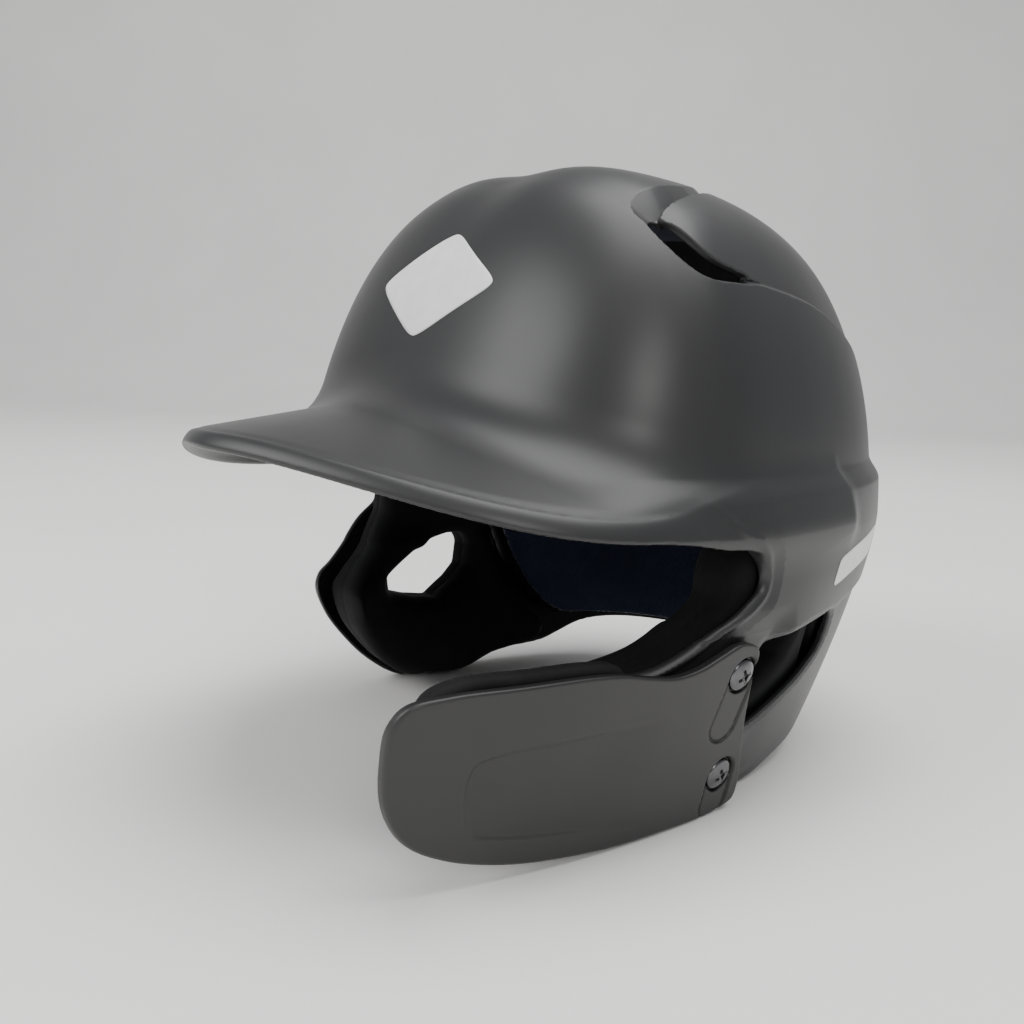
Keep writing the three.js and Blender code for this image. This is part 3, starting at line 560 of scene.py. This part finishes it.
# ---------- padding ----------
class Pad:
    """A slab between two depths inside the shell, within an outline or box."""

    def __init__(self, top, thick, edge, radius, crown=0.0, seam=True):
        self.top, self.thick, self.edge, self.radius = top, thick, edge, radius
        self.crown, self.seam = crown, seam

    def __call__(self, p):
        depth = -skin(p) - self.top
        edge = self.edge(*p)
        fall = self.crown * np.clip(1 + edge / 16, 0, 1) ** 2
        slab = np.maximum(-depth, depth - self.thick + fall)
        solid = round_max(slab, edge, self.radius)
        if self.seam:
            middle = (depth - self.thick * 0.45) / 0.8
            solid = solid + 0.35 * np.exp(-(middle**2)) * smooth(1 + edge / 1.5)
        return solid


def side_view(points):
    outline = Outline(spline(points))
    return lambda x, y, z: outline(y, z)


def within(low, high, soft=4.0):
    """A box's outline across X and Y or Z, with rounded corners; None leaves an axis open."""

    def edge(x, y, z):
        total, deepest = 0, None
        for value, a, b in zip((x, y, z), low, high):
            if a is None:
                continue
            d = np.abs(value - (a + b) / 2) - (b - a) / 2 + soft
            total = total + np.maximum(d, 0) ** 2
            deepest = d if deepest is None else np.maximum(deepest, d)
        return np.sqrt(total) + np.minimum(deepest, 0) - soft

    return edge


def one_side(edge, side, inner=30):
    return lambda x, y, z: np.maximum(edge(x, y, z), inner - side * x)


def rounded_poly(points, radius):
    """An outline with straight sides and corners of a radius."""
    p = np.array(points, float)
    out = []
    for i in range(len(p)):
        a, b, c = p[i - 1], p[i], p[(i + 1) % len(p)]
        u, v = (a - b) / np.linalg.norm(a - b), (c - b) / np.linalg.norm(c - b)
        half = 0.5 * math.acos(max(-1, min(1, float(u @ v))))
        back = min(radius / math.tan(half), 0.45 * min(np.linalg.norm(a - b), np.linalg.norm(c - b)))
        start, end = b + u * back, b + v * back
        for t in np.linspace(0, 1, 7):
            out.append((1 - t) ** 2 * start + 2 * t * (1 - t) * b + t * t * end)
    return np.array(out)


def side_poly(points, radius=6):
    outline = Outline(rounded_poly(points, radius))
    return lambda x, y, z: outline(y, z)


liner_top = SHELL_THICK + LINER_GAP
pad_top = liner_top + LINER_THICK + GLUE_GAP
ear_edge = side_view(EAR_PAD)
ear_pad_hole = Outline(rounded_poly(EAR_PAD_HOLE, 3))


def ear_pad(side):
    def edge(x, y, z):
        lean = 4.5 * np.clip((-skin((x, y, z)) - liner_top) / EAR_PAD_THICK, 0, 1)
        return soft_max(one_side(ear_edge, side, 10)(x, y + lean, z), -ear_pad_hole(y, z), 3)

    pad = Pad(liner_top, EAR_PAD_THICK, edge, 5.0, 3.0, True)

    def field(p):
        solid = pad(p)
        if side > 0:
            for screw in (UPPER_SCREW, LOWER_SCREW):
                radius, height = about_screw(p, screw)
                solid = np.maximum(solid, -np.maximum(radius - NUT_FLANGE_R - 1, -14 - height))
        return solid

    return field


# ---------- finishes ----------
def finish(name, colour, roughness, metallic=0.0, grain=None, spread=None, sheen=0.0, gloss=0.5, weave=None):
    """A procedural finish. Grain and weave are (size, height) in mm; spread is (size, share of colour)."""
    material = bpy.data.materials.new(name)
    material.use_nodes = True
    tree = material.node_tree
    shader = tree.nodes["Principled BSDF"]
    shader.inputs["Base Color"].default_value = (*colour, 1)
    shader.inputs["Roughness"].default_value = roughness
    shader.inputs["Metallic"].default_value = metallic
    shader.inputs["Sheen Weight"].default_value = sheen
    shader.inputs["Specular IOR Level"].default_value = gloss
    coords = tree.nodes.new("ShaderNodeTexCoord").outputs["Object"]

    def noise(size_mm, detail=3.0):
        node = tree.nodes.new("ShaderNodeTexNoise")
        node.inputs["Scale"].default_value = 1 / (size_mm * MM)
        node.inputs["Detail"].default_value = detail
        tree.links.new(coords, node.inputs["Vector"])
        return node.outputs["Fac"]

    if spread:
        ramp = tree.nodes.new("ShaderNodeMapRange")
        ramp.inputs["From Min"].default_value = 0.35
        ramp.inputs["From Max"].default_value = 0.65
        ramp.inputs["To Min"].default_value = 1 - spread[1]
        ramp.inputs["To Max"].default_value = 1 + spread[1]
        tree.links.new(noise(spread[0]), ramp.inputs["Value"])
        scale = tree.nodes.new("ShaderNodeVectorMath")
        scale.operation = "SCALE"
        scale.inputs[0].default_value = colour
        tree.links.new(ramp.outputs["Result"], scale.inputs["Scale"])
        tree.links.new(scale.outputs["Vector"], shader.inputs["Base Color"])
        rough = tree.nodes.new("ShaderNodeMapRange")
        rough.inputs["To Min"].default_value = max(0, roughness - 0.06)
        rough.inputs["To Max"].default_value = min(1, roughness + 0.06)
        tree.links.new(noise(spread[0] * 0.6), rough.inputs["Value"])
        tree.links.new(rough.outputs["Result"], shader.inputs["Roughness"])
    height = None
    if weave:
        size, _ = weave
        waves = []
        for axis in ("X", "Y", "Z"):
            node = tree.nodes.new("ShaderNodeTexWave")
            node.bands_direction = axis
            node.inputs["Scale"].default_value = 0.31 / (size * MM)
            node.inputs["Distortion"].default_value = 0.4
            tree.links.new(coords, node.inputs["Vector"])
            waves.append(node.outputs["Fac"])
        height = waves[0]
        for other in waves[1:]:
            node = tree.nodes.new("ShaderNodeMath")
            node.operation = "ADD"
            tree.links.new(height, node.inputs[0])
            tree.links.new(other, node.inputs[1])
            height = node.outputs["Value"]
    elif grain:
        height = noise(grain[0], 2.0)
    if height is not None:
        bump = tree.nodes.new("ShaderNodeBump")
        bump.inputs["Distance"].default_value = (weave or grain)[1] * MM
        bump.inputs["Strength"].default_value = 1.0
        tree.links.new(height, bump.inputs["Height"])
        tree.links.new(bump.outputs["Normal"], shader.inputs["Normal"])
    return material


SHELL_FINISH = finish("shell_plastic", (0.022, 0.022, 0.0224), 0.38, grain=(0.9, 0.012), spread=(60, 0.05))
GUARD_FINISH = finish("guard_plastic", (0.017, 0.017, 0.0165), 0.42, grain=(0.8, 0.012), spread=(40, 0.06))
FOAM_FINISH = finish(
    "guard_foam", (0.008, 0.008, 0.008), 0.85, gloss=0.3, grain=(0.7, 0.06), spread=(12, 0.2)
)
SCREW_FINISH = finish("screw_steel", (0.13, 0.13, 0.135), 0.25, 1.0, spread=(2, 0.1))
NUT_FINISH = finish("nut_steel", (0.5, 0.5, 0.52), 0.35, 1.0, spread=(2, 0.1))
LINER_FINISH = finish(
    "liner_foam", (0.008, 0.008, 0.0085), 0.85, gloss=0.25, grain=(1.4, 0.12), spread=(10, 0.15)
)
FABRIC_FINISH = finish(
    "pad_fabric", (0.012, 0.02, 0.05), 0.9, sheen=0.25, weave=(0.9, 0.1), spread=(14, 0.12)
)
EAR_FINISH = finish(
    "ear_foam", (0.005, 0.005, 0.0053), 0.85, gloss=0.25, grain=(0.6, 0.05), spread=(14, 0.15)
)
DECAL_FINISH = finish("decal_film", (0.78, 0.78, 0.77), 0.4, spread=(6, 0.04))


def show(piece, material, node, fill=None):
    piece.data.materials.clear()
    piece.data.materials.append(material)
    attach(piece, "root")
    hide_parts(node)
    return piece


# ---------- the pieces ----------
SHELL_CELL, GUARD_CELL, FOAM_CELL, EAR_CELL, LINER_CELL, PAD_CELL = 0.85, 0.6, 1.2, 1.4, 1.8, 1.5
REAR_LINER_CELL, REAR_PAD_CELL = 2.0, 1.6
SHELL_TRIANGLES = 188000
FOAM_FILL, LINER_FILL, PAD_FILL = 0.9, 0.95, 0.8  # how much of its CAD box each soft piece fills
FRONT_PAD_REAR_Y, CROWN_PAD_LOW_Z = -30, 150


def liner(edge):
    return Pad(liner_top, LINER_THICK, edge, 2.0, 0, False)


def comfort_pad(edge):
    return Pad(pad_top, PAD_THICK, edge, 2.2, 1.6)


def show_liner(name, edge, low, high, cell, node):
    piece = model(name, liner(edge), low, high, cell)
    show(piece, LINER_FINISH, node, LINER_FILL)


def show_pad(name, edge, low, high, cell, node):
    piece = model(name, comfort_pad(edge), low, high, cell)
    show(piece, FABRIC_FINISH, node, PAD_FILL)


def on_front(edge):
    return lambda x, y, z: np.maximum(edge(x, y, z), y - FRONT_PAD_REAR_Y)


def on_crown(edge):
    return lambda x, y, z: np.maximum(edge(x, y, z), CROWN_PAD_LOW_Z - z)


piece = model("helmet_shell", shell, (-106, -137, -4), (106, 137, 206), SHELL_CELL, SHELL_TRIANGLES)
show(piece, SHELL_FINISH, "shell")
piece = model("guard_plate", jaw_guard, (60, -124, -3), (108, 8, 64), GUARD_CELL)
show(piece, GUARD_FINISH, "jaw_guard")
piece = model("guard_padding", jaw_guard_pad, (50, -118, 4), (104, -46, 66), FOAM_CELL)
show(piece, FOAM_FINISH, "jaw_guard_pad", FOAM_FILL)

for side, place in ((1, "left"), (-1, "right")):
    x_low, x_high = sorted((side * 35, side * 106))
    piece = model(f"{place}_ear_foam", ear_pad(side), (x_low, -46, 0), (x_high, 78, 92), EAR_CELL)
    show(piece, EAR_FINISH, f"{place}_ear_pad", FOAM_FILL)
    edge = one_side(side_poly(SIDE_LINER), side)
    show_liner(f"{place}_side_liner", edge, (x_low, -34, 82), (x_high, 78, 158), LINER_CELL, f"{place}_liner")
    edge = one_side(side_poly(SIDE_PAD, 10), side)
    show_pad(f"{place}_side_pad", edge, (x_low, -24, 88), (x_high, 72, 148), PAD_CELL, f"{place}_pad")

edge = side_poly(REAR_LINER)
show_liner("rear_impact_liner", edge, (-106, 44, 16), (106, 136, 146), REAR_LINER_CELL, "rear_liner")
edge = side_poly(REAR_PAD, 8)
show_pad("rear_comfort_pad", edge, (-100, 48, 18), (100, 132, 114), REAR_PAD_CELL, "rear_pad")
edge = on_front(within((-60, None, 128), (60, None, 172), 8))
show_liner("front_impact_liner", edge, (-66, -82, 124), (66, -26, 176), LINER_CELL, "front_liner")
edge = on_front(within((-48, None, 132), (48, None, 164), 10))
show_pad("front_comfort_pad", edge, (-54, -76, 128), (54, -26, 168), PAD_CELL, "front_pad")
edge = on_crown(within((-38, -22, None), (38, 62, None), 8))
show_liner("crown_impact_liner", edge, (-42, -26, 150), (42, 66, 204), LINER_CELL, "crown_liner")
edge = on_crown(within((-28, -14, None), (28, 52, None), 10))
show_pad("crown_comfort_pad", edge, (-32, -18, 150), (32, 56, 200), PAD_CELL, "crown_pad")


# ---------- fasteners, turned about the screws' axes ----------
def placed(screw):
    origin, out = screw_axis(screw)
    turn = Vector(out).to_track_quat("Z", "Y").to_matrix().to_4x4()
    return Matrix.Translation(Vector(origin) * MM) @ turn


def screw_field(p):
    x, y, z = p
    radius = np.hypot(x, y)
    top = HEAD_SEAT + SCREW_HEAD_H
    curve = top - 0.055 * radius**2
    head = round_max(round_max(radius - SCREW_HEAD_R, z - curve, 0.5), HEAD_SEAT - z, 0.2)
    c, s = math.cos(0.4), math.sin(0.4)
    u, v = x * c + y * s, y * c - x * s
    arm = 0.62 + 0.12 * (z - top)
    u, v = np.abs(u), np.abs(v)
    cross = np.minimum(np.maximum(u - arm, v - CROSS_REACH), np.maximum(v - arm, u - CROSS_REACH))
    cross = soft_min(cross, radius - 1.05, 0.5)
    recess = np.maximum(cross, top - 1.5 - z + radius * 0.35)
    head = round_max(head, -recess, 0.12)
    thread = 0.18 * np.sin(2 * math.pi * z / 0.8 + np.arctan2(y, x)) * smooth((HEAD_SEAT - 1 - z) / 0.8)
    shank = round_max(radius - 2.05 - thread, HEAD_SEAT - SCREW_LENGTH - z, 0.4)
    return np.minimum(head, np.maximum(shank, z - HEAD_SEAT - 0.5))


def nut_field(p):
    x, y, z = p
    radius = np.hypot(x, y)
    flange_top = -(GUARD_THICK + GLUE_GAP + SHELL_THICK + GLUE_GAP)
    low = flange_top - NUT_FLANGE_H
    flange = round_max(radius - NUT_FLANGE_R, np.abs(z - (flange_top + low) / 2) - NUT_FLANGE_H / 2, 0.3)
    barrel = round_max(radius - NUT_BARREL_R, np.maximum(low - z, z + GUARD_THICK + GLUE_GAP + 0.4), 0.2)
    collar = round_max(radius - NUT_BARREL_R - 0.6, np.maximum(low - 1.2 - z, z - flange_top), 0.3)
    return np.maximum(np.minimum(flange, soft_min(barrel, collar, 0.4)), 2.5 - radius)


for place, screw in (("upper", UPPER_SCREW), ("lower", LOWER_SCREW)):
    piece = model(f"{place}_screw", screw_field, (-6, -6, -12), (6, 6, 2), 0.22)
    piece.matrix_world = placed(screw)
    show(piece, SCREW_FINISH, f"guard_screw_{place}")
    piece = model(f"{place}_nut", nut_field, (-8, -8, -11), (8, 8, -3), 0.3)
    piece.matrix_world = placed(screw)
    show(piece, NUT_FINISH, f"guard_nut_{place}")


# ---------- decals: thin films laid on the shell ----------
def film(name, inside, rows, columns, to_point):
    """A film over a patch: a grid of places (s, t) in -1..1 is laid on the shell by to_point."""
    s, t = np.meshgrid(np.linspace(-1, 1, columns), np.linspace(-1, 1, rows))
    points = to_point(inside(np.stack([s.ravel(), t.ravel()], 1)))
    outer = settle(lambda p: shell(p) - FILM_TOP, points, 6, 4.0)
    inner = settle(lambda p: shell(p) - FILM_FOOT, outer, 4, 1.0)
    n = rows * columns
    faces = []
    for r in range(rows - 1):
        for c in range(columns - 1):
            a = r * columns + c
            faces.append((a, a + 1, a + columns + 1, a + columns))
            faces.append((n + a, n + a + columns, n + a + columns + 1, n + a + 1))
    rim = list(range(columns))
    rim += [r * columns + columns - 1 for r in range(1, rows)]
    rim += [(rows - 1) * columns + c for c in range(columns - 2, -1, -1)]
    rim += [r * columns for r in range(rows - 2, 0, -1)]
    for a, b in zip(rim, rim[1:] + rim[:1]):
        faces.append((b, a, n + a, n + b))
    return new_mesh(name, np.vstack([outer, inner]), np.array(faces))


def squircle(flat):
    """Pulls a square's corners in, to round them."""
    s, t = flat[:, 0], flat[:, 1]
    pull = 1 - 0.075 * (s * t) ** 6
    return np.stack([s * pull, t * pull], 1)


def on_forehead(flat):
    s, t = flat[:, 0], flat[:, 1]
    x, z = (s - t) * DIAMOND_HALF[0] / 2, DIAMOND_Z + (s + t) * DIAMOND_HALF[1] / 2
    y = np.full(len(x), -52.0)
    for _ in range(10):
        y = y + dome(x, y, z)
    return np.stack([x, y, z], 1)


def on_side(side):
    a, b, c, d = (np.array(q, float) for q in SIDE_BAR)

    def to_point(flat):
        s, t = (flat[:, :1] + 1) / 2, (flat[:, 1:] + 1) / 2
        yz = (a * (1 - s) + b * s) * (1 - t) + (d * (1 - s) + c * s) * t
        y, z = yz[:, 0], yz[:, 1]
        return np.stack([side * wall_x(y, z), y, z], 1)

    return to_point


show(film("forehead_film", squircle, 33, 33, on_forehead), DECAL_FINISH, "front_decal")
show(film("left_film", squircle, 9, 33, on_side(1)), DECAL_FINISH, "left_decal")
show(film("right_film", squircle, 9, 33, on_side(-1)), DECAL_FINISH, "right_decal")

# ---------- stage, light and camera ----------
floor_mesh = bpy.data.meshes.new("floor")
reach, bend_start, bend_radius, wall_top, half_width = 3.0, 1.6, 0.9, 2.6, 4.0  # metres
turns = np.linspace(0, math.pi / 2, 17)
profile = [(-reach, 0.0)]
profile += [(bend_start + bend_radius * math.sin(a), bend_radius * (1 - math.cos(a))) for a in turns]
profile.append((bend_start + bend_radius, wall_top))
verts = [(x, y, z) for y, z in profile for x in (-half_width, half_width)]
faces = [(2 * i, 2 * i + 1, 2 * i + 3, 2 * i + 2) for i in range(len(profile) - 1)]
floor_mesh.from_pydata(verts, [], faces)
floor_mesh.shade_smooth()
floor = bpy.data.objects.new("floor", floor_mesh)
bpy.context.scene.collection.objects.link(floor)
floor.rotation_euler = (0, 0, math.radians(48))
floor_mesh.materials.append(finish("cloth", (0.9, 0.885, 0.865), 0.9, spread=(300, 0.02)))
floor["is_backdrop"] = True

world = bpy.data.worlds.new("studio")
bpy.context.scene.world = world
world.use_nodes = True
world.node_tree.nodes["Background"].inputs["Color"].default_value = (0.92, 0.95, 1.0, 1)
world.node_tree.nodes["Background"].inputs["Strength"].default_value = 0.4


def area_light(name, place, target, size, power, colour=(1, 1, 1)):
    light = bpy.data.lights.new(name, "AREA")
    light.shape = "RECTANGLE"
    light.size, light.size_y = size
    light.energy = power
    light.color = colour
    lamp = bpy.data.objects.new(name, light)
    bpy.context.scene.collection.objects.link(lamp)
    lamp.location = place
    lamp.rotation_euler = (Vector(target) - Vector(place)).to_track_quat("-Z", "Y").to_euler()
    return lamp


area_light("overhead", (0.2, 0.3, 1.9), (0, 0, 0.1), (1.6, 1.6), 38)
area_light("window", (1.5, -0.9, 1.1), (0, 0, 0.12), (0.6, 0.6), 8, (1, 0.98, 0.95))
area_light("key", (-0.5, -1.6, 1.15), (0, 0, 0.1), (1.2, 1.2), 24)

VIEW_PLACE = (0.2709, -0.2592, 0.1418)  # metres
VIEW_BEARING, VIEW_PITCH, VIEW_ROLL = -41.98, 9.04, 2.08  # degrees
camera_data = bpy.data.cameras.new("camera")
camera_data.lens = 36.36
camera_data.sensor_width = 36
camera = bpy.data.objects.new("camera", camera_data)
bpy.context.scene.collection.objects.link(camera)
bearing, pitch, roll = (math.radians(angle) for angle in (VIEW_BEARING, VIEW_PITCH, VIEW_ROLL))
turn = Matrix.Rotation(bearing + math.pi / 2, 4, "Z") @ Matrix.Rotation(math.pi / 2 - pitch, 4, "X")
camera.matrix_world = Matrix.Translation(VIEW_PLACE) @ turn @ Matrix.Rotation(roll, 4, "Z")
bpy.context.scene.camera = camera

boxes = {"cad": cad_box, "visual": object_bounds()}
{name: [list(corner) for corner in box] for name, box in boxes.items()}
